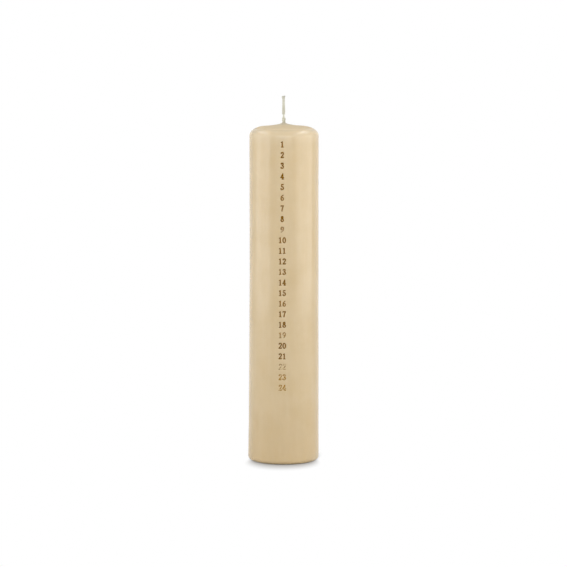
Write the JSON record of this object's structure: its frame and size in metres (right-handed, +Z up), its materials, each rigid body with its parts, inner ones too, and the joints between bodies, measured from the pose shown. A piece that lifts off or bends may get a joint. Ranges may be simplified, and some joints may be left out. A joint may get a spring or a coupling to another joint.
{
  "type": "calendar candle",
  "caption": "Tall round pillar candle with a day scale of foil numerals down its front, a rounded shoulder and a short flat braided wick.",
  "frame": {"origin": "centre of the base plane, on the candle's axis", "axes": "+Z up along the axis to the wick; the numerals face -Y, so +X is to the right as they are read"},
  "size_m": [0.05, 0.0501, 0.261],
  "materials": {
    "coat_wax": "dyed dipped wax, satin sheen",
    "core_wax": "pressed wax granules, matt",
    "wick_cotton": "flat braided cotton, lightly waxed",
    "tinplate": "pressed tinplate",
    "numeral_foil": "hot stamped foil, antique gold"
  },
  "bodies": {
    "root": {"colour_coat": "coat_wax", "wax_core": "core_wax", "wick": "wick_cotton", "wick_sustainer": "tinplate", "numeral_01": "numeral_foil", "numeral_02": "numeral_foil", "numeral_03": "numeral_foil", "numeral_04": "numeral_foil", "numeral_05": "numeral_foil", "numeral_06": "numeral_foil", "numeral_07": "numeral_foil", "numeral_08": "numeral_foil", "numeral_09": "numeral_foil", "numeral_10": "numeral_foil", "numeral_11": "numeral_foil", "numeral_12": "numeral_foil", "numeral_13": "numeral_foil", "numeral_14": "numeral_foil", "numeral_15": "numeral_foil", "numeral_16": "numeral_foil", "numeral_17": "numeral_foil", "numeral_18": "numeral_foil", "numeral_19": "numeral_foil", "numeral_20": "numeral_foil", "numeral_21": "numeral_foil", "numeral_22": "numeral_foil", "numeral_23": "numeral_foil", "numeral_24": "numeral_foil"}
  },
  "joints": []
}
